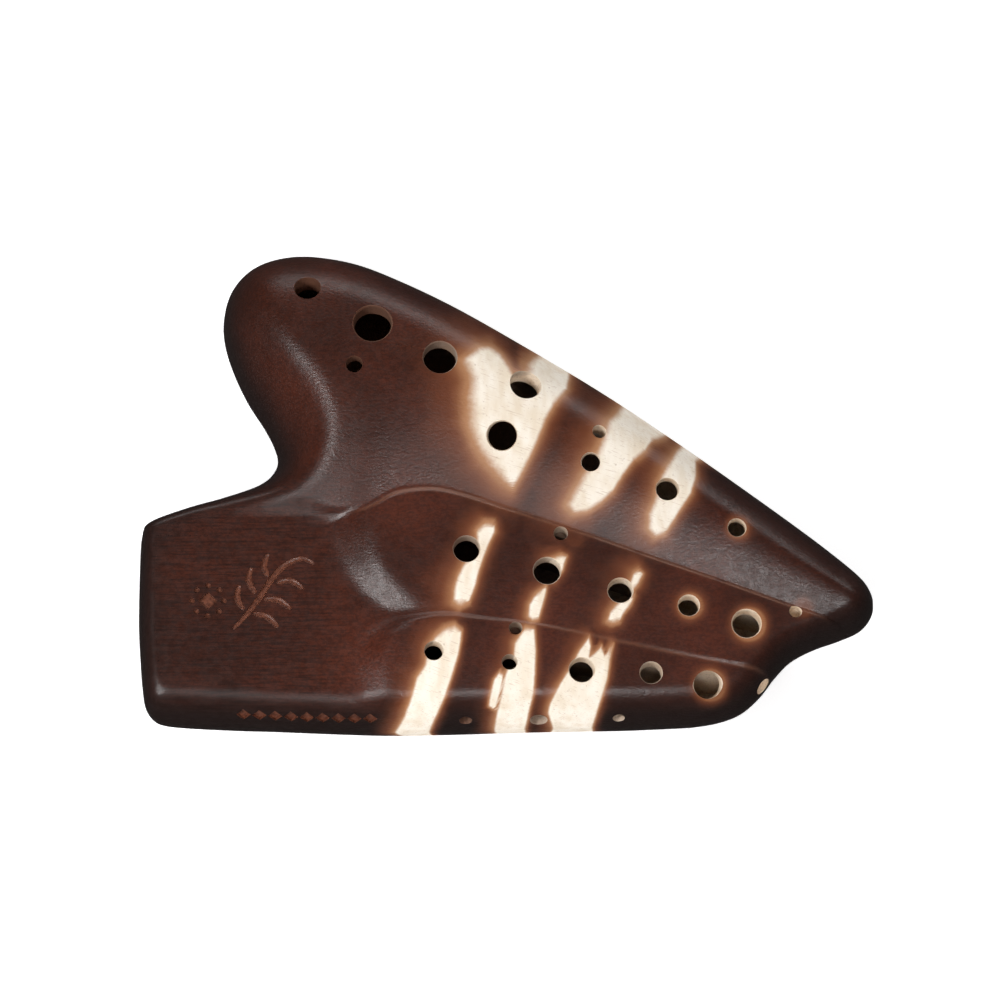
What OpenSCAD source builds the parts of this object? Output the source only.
// Triple-chamber transverse ocarina of fired clay, lying on its back with the finger holes up.
// X runs along the length with the mouthpiece at -X. Y runs across, with the large chamber at +Y.
// The flat of the belly lies on Z = 0. Two half shells meet on a level parting plane.

/* [Body] */
// Height of the parting plane above the flat of the belly
part_z = 24; // [22:0.5:26]
// Rise of the large chamber's crest above the parting plane
crest_h = 28; // [26:0.5:30]
// Rise of the middle chamber's ridge above the parting plane
ridge_h = 18; // [17:0.5:19]
// Rise of the mouthpiece's face above the parting plane
mouth_front_h = 12; // [11:0.5:13]
// Depth of the mouthpiece's back below the parting plane
mouth_back_h = 14; // [13:0.5:15]
// Thickness of the clay shells
shell_t = 5; // [4:0.5:5.5]
// Thickness of the walls between the chambers
chamber_wall_t = 4; // [3:0.5:5]

/* [Windways] */
// Height of the slots that the air runs through
windway_h = 1.6; // [1.2:0.1:2]
// Height of the windway floors at the blowing end
windway_z_in = 20; // [19:0.5:20.5]
// Height of the windway floors at the windows
windway_z_out = 8.8; // [8.6:0.1:9.6]
// Length of each window along the air stream
window_l = 5.5; // [4.5:0.5:6]
// Length of the ramp behind each labium edge
ramp_l = 14; // [12:0.5:15]

/* [Resolution] */
// Rows of the outer surfaces across the body
rows = 42; // [30:1:46]
// Columns of the outer surfaces along the body
cols = 52; // [36:1:54]

/* [Hidden] */
clay_dark = "#4a2a1c";
clay_bare = "#c9a27c";

// Rim on the parting plane, up the left side from the mouthpiece's lower corner to the lobe's top.
// Each row is y, x, width of the front edge's rounding, and its fullness (1 flat, 2 round).
LEFT_RIM = [
    [-65.1, -90, 7, 2], [-64.1, -94.5, 7, 2], [-61.2, -97.2, 6, 2], [-56, -98.3, 5, 2],
    [-48, -99.1, 5, 2], [-38, -99.8, 5, 2], [-24, -100, 5, 2], [-13, -99.7, 4.5, 2], [-9, -97.5, 4.5, 2],
    [-4.4, -87, 5, 1.8], [-1.3, -78, 6, 1.6], [2.6, -69, 9, 1.35], [6, -64.8, 12, 1.2],
    [10, -63, 14, 1.15], [15, -64.2, 14, 1.15], [21, -67.2, 13, 1.2], [29, -72.1, 10, 1.4],
    [37, -75.8, 9, 1.7], [44.5, -78.2, 14, 2], [51, -78.7, 19, 2], [58, -77, 20, 2],
    [63.8, -72.3, 20, 2], [67.4, -65, 20, 2], [68.6, -55, 20, 2]];
// Rim up the right side, from the lower corner round the tip to the lobe's top
RIGHT_RIM = [
    [-65.1, 50, 8, 2], [-64, 57, 8, 2], [-61.6, 63.5, 7, 2], [-57, 68.8, 5, 1.8],
    [-51.5, 73, 4.5, 1.7], [-46.8, 77.6, 4.5, 1.7], [-43.4, 84, 5, 1.7], [-40.9, 91, 7, 1.8],
    [-38, 96.8, 9, 2], [-33.2, 99.8, 11, 2], [-28.2, 99, 12, 2], [-23.2, 95.3, 13, 2],
    [-14.5, 85.3, 14, 2], [-1.5, 68.4, 15, 2], [13.6, 48, 16, 2], [27.9, 27.6, 17, 2],
    [40.6, 7.6, 18, 2], [52.3, -12, 18, 2], [60.8, -28.5, 18, 2], [66.2, -41.5, 19, 2], [68.6, -55, 20, 2]];
// Sag of the lower edge below its two corners: x, y
LOWER_SAG = [[-90, 0], [-83, -0.5], [-66, -1.3], [-50, -2], [-33, -2.3], [-16, -2], [0, -1.5], [16, -1.1],
             [33, -0.8], [50, 0]];
lower_y = LEFT_RIM[0][0];

// Creases between the chambers on the front: x, y
UPPER_CREASE = [[-60, -10], [-44, -9.6], [-37, -8.4], [-30, -4.8], [-22, -3.6], [-14, -4.6], [0, -9], [20, -15.4],
                [40, -22.5], [60, -29.4], [80, -36.6], [100, -43]];
LOWER_CREASE = [[-60, -40.5], [-40, -40.5], [-26, -39.6], [-16, -38.6], [-8, -39.5], [10, -41.5], [30, -45.6],
                [50, -49.7], [70, -53.2], [100, -58]];

// The long upper edge: x, y
UPPER_EDGE = [[-54, 68.5], [-12, 52], [48, 13.5], [100, -33]];

// Inner outline of the hollow that the chambers share: y, x up the left side and up the right side
LEFT_HOLLOW = [[-60, -40], [-56, -43.5], [-30, -44.5], [-10, -45.5], [2, -49], [10, -54], [16, -56.5], [22, -59],
               [30, -62.5], [38, -66.5], [46, -70], [53, -69.5], [58, -65], [61, -57]];
RIGHT_HOLLOW = [[-60, 50], [-57.5, 58.5], [-51.5, 65], [-45, 71], [-39.5, 78], [-35.5, 87], [-32, 91.5],
                [-28.5, 92.5], [-24, 89.5], [-14, 76], [0, 56.5], [14, 36], [28, 14.5], [42, -7.5], [54, -29],
                [59.5, -42], [61, -50]];

// Points between the rows of a table, on a Catmull-Rom curve through them
function curve_point(p, i, f) =
    let (n = len(p) - 1, a = p[max(i - 1, 0)], b = p[i], c = p[min(i + 1, n)], d = p[min(i + 2, n)])
    0.5 * (2 * b + (c - a) * f + (2 * a - 5 * b + 4 * c - d) * f * f + (3 * b - a - 3 * c + d) * f * f * f);
function curve(p, steps) =
    [for (i = [0 : len(p) - 2], k = [0 : steps - 1]) curve_point(p, i, k / steps), p[len(p) - 1]];
function column(table, a, b) = [for (r = table) [r[a], r[b]]];
function smooth(t) = let (u = max(0, min(1, t))) u * u * (3 - 2 * u);
function mix(a, b, t) = a + (b - a) * t;
// Spacing that is close at both ends and wide in the middle
function spread(s) = s - 0.8 * sin(360 * s) * 0.159155;

left_curve = curve(LEFT_RIM, 4);
right_curve = curve(RIGHT_RIM, 4);
left_x = column(left_curve, 0, 1);
right_x = column(right_curve, 0, 1);
upper_crease = curve(UPPER_CREASE, 4);
lower_crease = curve(LOWER_CREASE, 4);
lower_sag = curve(LOWER_SAG, 3);
rim_top = left_x[len(left_x) - 1][0];

function row_y(s) = mix(lower_y, rim_top, spread(s));
function sag(x, s) = lookup(x, lower_sag) * pow(1 - s, 12);
function row(s, n) =
    let (y = row_y(s), a = lookup(y, left_x), b = lookup(y, right_x))
    [for (j = [0 : n]) let (x = mix(a, b, spread(j / n))) [x, y + sag(x, s)]];

// The rim as points with their edge widths and fullness: x, y, width, fullness
rim = concat(
    [for (r = left_curve) [r[1], r[0], r[2], r[3]]],
    [for (i = [len(right_curve) - 2 : -1 : 0]) let (r = right_curve[i]) [r[1], r[0], r[2], r[3]]],
    [for (p = [40 : -10 : -80]) [p, lower_y + sag(p, 0), 8, 2]]);
rim_n = len(rim);

function to_segment(p, a, b) =
    let (d = b - a, t = max(0, min(1, (p - a) * d / (d * d)))) norm(p - a - t * d);
function rim_distance(p) =
    min([for (i = [0 : rim_n - 1])
        to_segment(p, [rim[i][0], rim[i][1]], [rim[(i + 1) % rim_n][0], rim[(i + 1) % rim_n][1]])]);
// Edge width and fullness near a point, shared out by nearness to the rim
function edge_at(p) =
    let (w = [for (r = rim) let (d = (p.x - r[0]) * (p.x - r[0]) + (p.y - r[1]) * (p.y - r[1]) + 1) 1 / (d * d)],
         total = w * [for (r = rim) 1])
    [w * [for (r = rim) r[2]] / total, w * [for (r = rim) r[3]] / total];
function rounding(d, width, fullness) =
    let (u = max(0, min(1, d / width))) pow(1 - pow(1 - u, fullness), 1 / fullness);

// Rise of the front above the parting plane, before its edges are rounded
crease_w = 3;
function taper(x) = max(0, min(1, (x + 20) / 110));
function front_rise(p) =
    let (x = p.x, y = p.y,
         above = y - lookup(x, upper_crease),
         below = y - lookup(x, lower_crease),
         span = 0.62 * max(14, lookup(x, UPPER_EDGE) - lookup(x, upper_crease)),
         ridge = mix(ridge_h, 12.5, taper(x)),
         crest = mix(crest_h, 15.5, pow(taper(x), 1.3)),
         large = ridge - 1 + (crest - ridge + 1) * sin(90 * max(0, min(1, above / span))),
         middle = ridge - 2.4 * pow(max(0, -above) / 31, 1.5),
         small = ridge - 1.9 - 2.2 * pow(max(0, -below) / 26, 1.6),
         chambers = mix(mix(small, middle, smooth(below / crease_w + 0.5)), large, smooth(above / crease_w + 0.5)),
         joined = smooth((x + 58 - 6 * smooth(-(y + 20) / 20)) / 22 + smooth((y + 4) / 22)))
    mix(mouth_front_h, chambers, joined);
function front_z(p) =
    let (e = edge_at(p)) part_z + front_rise(p) * rounding(rim_distance(p), e[0], e[1]);

// Depth of the back below the parting plane, flat over the belly
function back_drop(p) =
    mix(mouth_back_h, part_z, smooth((p.x + 68) / 42 + smooth((p.y - 4) / 26)))
    * (1 - 0.45 * smooth((p.x - 45) / 60));
function back_z(p) = part_z - back_drop(p) * rounding(rim_distance(p), back_edge(p), 2);
function back_edge(p) = mix(9, 24, smooth((p.x + 74) / 40 + smooth((p.y - 4) / 26))) * (1 - 0.3 * smooth((p.x - 50) / 50));

// A closed shell half: the curved surface over the whole rim, and the level face under it
module shell_half(z_of, up) {
    n = cols + 1;
    points = concat(
        [for (i = [0 : rows - 1]) let (r = row(i / rows, cols)) for (j = [0 : cols])
            [r[j].x, r[j].y, i == 0 || j == 0 || j == cols ? part_z : z_of(r[j])]],
        [[left_x[len(left_x) - 1][1], rim_top, part_z]]);
    apex = rows * n;
    skin = concat(
        [for (i = [0 : rows - 2], j = [0 : cols - 1]) [i * n + j, (i + 1) * n + j, (i + 1) * n + j + 1]],
        [for (i = [0 : rows - 2], j = [0 : cols - 1]) [i * n + j, (i + 1) * n + j + 1, i * n + j + 1]],
        [for (j = [0 : cols - 1]) [(rows - 1) * n + j, apex, (rows - 1) * n + j + 1]]);
    level = concat(
        [concat([for (j = [0 : cols]) j], [n + cols, n])],
        [for (i = [1 : rows - 2]) [i * n, i * n + cols, (i + 1) * n + cols, (i + 1) * n]],
        [[(rows - 1) * n, (rows - 1) * n + cols, apex]]);
    polyhedron(points, up ? concat(skin, level) : [for (f = concat(skin, level)) reverse(f)], convexity = 8);
}
function reverse(v) = [for (i = [len(v) - 1 : -1 : 0]) v[i]];

// The hollow inside both shells, one wall thickness in from them
hollow_rows = 26;
hollow_cols = 30;
hollow_band = 3;
hollow_left = curve(LEFT_HOLLOW, 3);
hollow_right = curve(RIGHT_HOLLOW, 3);
hollow_y0 = LEFT_HOLLOW[0][0];
hollow_y1 = LEFT_HOLLOW[len(LEFT_HOLLOW) - 1][0];
function inner_rise(p, rise, edge, fullness) =
    max(hollow_band, (rise - shell_t) * rounding(rim_distance(p) - shell_t, edge - 0.5 * shell_t, fullness));
function hollow_top(p) =
    let (e = edge_at(p)) part_z + inner_rise(p, front_rise(p), max(7, e[0]), e[1]);
function hollow_floor(p) = part_z - inner_rise(p, back_drop(p), back_edge(p), 2);
module hollow() {
    n = hollow_cols + 1;
    m = hollow_rows + 1;
    plan = [for (i = [0 : hollow_rows], j = [0 : hollow_cols])
        let (y = mix(hollow_y0, hollow_y1, spread(i / hollow_rows)),
             x = mix(lookup(y, hollow_left), lookup(y, hollow_right), spread(j / hollow_cols))) [x, y]];
    points = concat([for (p = plan) [p.x, p.y, hollow_top(p)]], [for (p = plan) [p.x, p.y, hollow_floor(p)]]);
    under = n * m;
    cells = [for (i = [0 : hollow_rows - 1], j = [0 : hollow_cols - 1]) i * n + j];
    side = concat([for (j = [0 : hollow_cols]) j], [for (i = [1 : hollow_rows]) i * n + hollow_cols],
                  [for (j = [hollow_cols - 1 : -1 : 0]) hollow_rows * n + j],
                  [for (i = [hollow_rows - 1 : -1 : 1]) i * n]);
    faces = concat(
        [for (c = cells) [c, c + n, c + n + 1]],
        [for (c = cells) [c, c + n + 1, c + 1]],
        [for (c = cells) [under + c, under + c + n + 1, under + c + n]],
        [for (c = cells) [under + c, under + c + 1, under + c + n + 1]],
        [for (k = [0 : len(side) - 1]) let (a = side[k], b = side[(k + 1) % len(side)]) [a, b, under + b]],
        [for (k = [0 : len(side) - 1]) let (a = side[k], b = side[(k + 1) % len(side)]) [a, under + b, under + a]]);
    polyhedron(points, faces, convexity = 8);
}

// Tone holes of the front: x, y, radius
LARGE_HOLES = [[-54.3, 51, 3.5], [-36.4, 40.3, 5.1], [-18, 30.4, 4.5], [5.3, 23.3, 4.2], [-1.2, 9.1, 4],
               [22.8, 1.9, 2.5], [43.5, -5.3, 3], [62.2, -15.5, 2.4], [-41.3, 28.5, 2.2], [25.2, 10.3, 1.8]];
MIDDLE_HOLES = [[-10.7, -20.8, 3.5], [11, -26.7, 3.6], [30.7, -32, 3.3], [49.1, -36, 2.8], [64.6, -40.9, 3.8],
                [14.7, -16.2, 1.8], [77.9, -37.3, 1.6]];
SMALL_HOLES = [[-19.4, -49.3, 2.5], [0.9, -52.1, 2], [20.2, -54, 3.3], [38.8, -54.6, 2.9], [54, -57.7, 3.8],
               [2.5, -42.7, 1.7]];
// Tuning holes low on the flank: x, y, radius
FLANK_HOLES = [[-10.9, -66, 1.6], [8.7, -65.6, 2.2], [30.2, -65.1, 1.5]];
// Vent through the end flank below the tip: x, y, height above the parting plane, heading, radius
END_VENT = [69.6, -56, 4, -42, 2.4];
// Thumb holes of the back: x, y, radius
THUMB_HOLES = [[-34, 27, 4.6], [46, -4, 4.2]];
drill_l = 12;
drill_clear = 5;
drill_fn = 48;

// A hole drilled square to the front's surface
function slope(p) = [front_z(p + [0.5, 0]) - front_z(p - [0.5, 0]), front_z(p + [0, 0.5]) - front_z(p - [0, 0.5])];
module front_drill(hole) {
    p = [hole[0], hole[1]];
    g = slope(p);
    translate([p.x, p.y, front_z(p)])
        rotate([0, atan(norm(g)), atan2(-g.y, -g.x)])
            translate([0, 0, -drill_l]) cylinder(r = hole[2], h = drill_l + drill_clear, $fn = drill_fn);
}
module end_vent() {
    translate([END_VENT[0], END_VENT[1], part_z + END_VENT[2]])
        rotate([0, 78, END_VENT[3]])
            translate([0, 0, -drill_l / 2]) cylinder(r = END_VENT[4], h = drill_l, $fn = drill_fn);
}

// Windways: y at the blowing end, y at the window, and width, for each chamber in turn
blow_x = -100;
window_x0 = -42.5;
WINDWAYS = [[-24.5, 1.5, 10], [-38, -24, 9], [-51, -51, 8]];
// The bed in the back shell that the windway pieces are laid in, as far as the windows
bed_x0 = -92;
window_x1 = window_x0 + window_l;
ramp_x1 = window_x1 + ramp_l;
cut_lap = 0.02;
function windway_y(w, x) = mix(w[0], w[1], (x - blow_x) / (window_x0 - blow_x));
function windway_half(w) = w[2] / 2 * norm([window_x0 - blow_x, w[1] - w[0]]) / (window_x0 - blow_x);
function windway_floor(x) = mix(windway_z_in, windway_z_out, (x - blow_x) / (window_x0 - blow_x));
// Plan of one windway from x0 to x1
function lane(w, x0, x1) =
    let (h = windway_half(w))
    [[x0, windway_y(w, x0) - h], [x1, windway_y(w, x1) - h], [x1, windway_y(w, x1) + h], [x0, windway_y(w, x0) + h]];
// Plan of the strip from one windway's far side to another's near side
function strip(w, v, sign) =
    [for (x = [bed_x0, window_x0]) [x, windway_y(w, x) + sign * windway_half(w)],
     for (x = [window_x0, bed_x0]) [x, windway_y(v, x) - sign * windway_half(v)]];
// A solid with the given plan and the given side view
module plan_and_side(plan, side) {
    intersection() {
        linear_extrude(part_z + 30) polygon(plan);
        translate([0, 80, 0]) rotate([90, 0, 0]) linear_extrude(160) polygon(side);
    }
}
// Side view between two heights that follow the windways' fall
function falling(x0, x1, low, high) =
    [[x0, windway_floor(x0) + low], [x1, windway_floor(x1) + low], [x1, windway_floor(x1) + high],
     [x0, windway_floor(x0) + high]];
// Side view from the windways' fall up to a level top
function falling_to(x0, x1, low, top) =
    [[x0, windway_floor(x0) + low], [x1, windway_floor(x1) + low], [x1, top], [x0, top]];

// The bed for the windway pieces, between the lowest and the highest windway
module windway_bed() {
    plan_and_side(strip(WINDWAYS[2], WINDWAYS[0], -1), falling_to(bed_x0, window_x0, 0, part_z + 1));
}
// The slots through the blowing end, and the windows through the back
module windway_mouths() {
    for (w = WINDWAYS) {
        plan_and_side(lane(w, blow_x - 4, bed_x0 + 1), falling(blow_x - 4, bed_x0 + 1, cut_lap, windway_h));
        translate([0, 0, -1])
            linear_extrude(windway_z_out + windway_h + 1) polygon(lane(w, window_x0 - cut_lap, ramp_x1));
    }
}
module front_shell() {
    color(clay_dark)
    difference() {
        shell_half(function (p) front_z(p), true);
        hollow();
        for (hole = concat(LARGE_HOLES, MIDDLE_HOLES, SMALL_HOLES, FLANK_HOLES)) front_drill(hole);
        end_vent();
    }
}
module back_shell() {
    color(clay_dark)
    difference() {
        shell_half(function (p) back_z(p), false);
        hollow();
        windway_bed();
        windway_mouths();
        for (hole = THUMB_HOLES) translate([hole[0], hole[1], -1]) cylinder(r = hole[2], h = 12, $fn = drill_fn);
    }
}

// A wall that stands between two chambers, along the crease above it, and butts on the windway bed
module chamber_wall(crease, x1) {
    line = [for (p = crease) if (p.x <= x1) p];
    side = chamber_wall_t / 2;
    difference() {
        intersection() {
            hollow();
            linear_extrude(part_z + 40)
                polygon(concat([for (p = line) p + [0, side]], [for (p = reverse(line)) p - [0, side]]));
        }
        windway_bed();
    }
}
module upper_chamber_wall() { color(clay_bare) chamber_wall(upper_crease, 99); }
module lower_chamber_wall() { color(clay_bare) chamber_wall(lower_crease, 85); }

// A strip of clay between two windways, as high as the bed
module windway_divider(upper, lower) {
    plan_and_side(strip(lower, upper, 1), falling_to(bed_x0, window_x0, 0, part_z));
}
module upper_windway_divider() { color(clay_bare) windway_divider(WINDWAYS[0], WINDWAYS[1]); }
module lower_windway_divider() { color(clay_bare) windway_divider(WINDWAYS[1], WINDWAYS[2]); }

// The roof of one windway, with its nose at the window
module windway_cover(w) {
    plan_and_side(lane(w, bed_x0, window_x0), falling_to(bed_x0, window_x0, windway_h, part_z));
}
module large_windway_cover() { color(clay_bare) windway_cover(WINDWAYS[0]); }
module middle_windway_cover() { color(clay_bare) windway_cover(WINDWAYS[1]); }
module small_windway_cover() { color(clay_bare) windway_cover(WINDWAYS[2]); }

// The ramp whose sharp edge splits the air at one window
labium_edge_t = 0.5;
labium_root_t = 5;
module labium(w) {
    edge_z = windway_z_out + windway_h / 2;
    root_z = back_z([ramp_x1, windway_y(w, ramp_x1) - windway_half(w)]);
    plan_and_side(lane(w, window_x1, ramp_x1),
        [[window_x1, edge_z - labium_edge_t], [ramp_x1, root_z + 0.2], [ramp_x1, root_z + labium_root_t + 0.2],
         [window_x1, edge_z]]);
}
module large_labium() { color(clay_bare) labium(WINDWAYS[0]); }
module middle_labium() { color(clay_bare) labium(WINDWAYS[1]); }
module small_labium() { color(clay_bare) labium(WINDWAYS[2]); }

front_shell();
back_shell();
upper_chamber_wall();
lower_chamber_wall();
upper_windway_divider();
lower_windway_divider();
large_windway_cover();
middle_windway_cover();
small_windway_cover();
large_labium();
middle_labium();
small_labium();
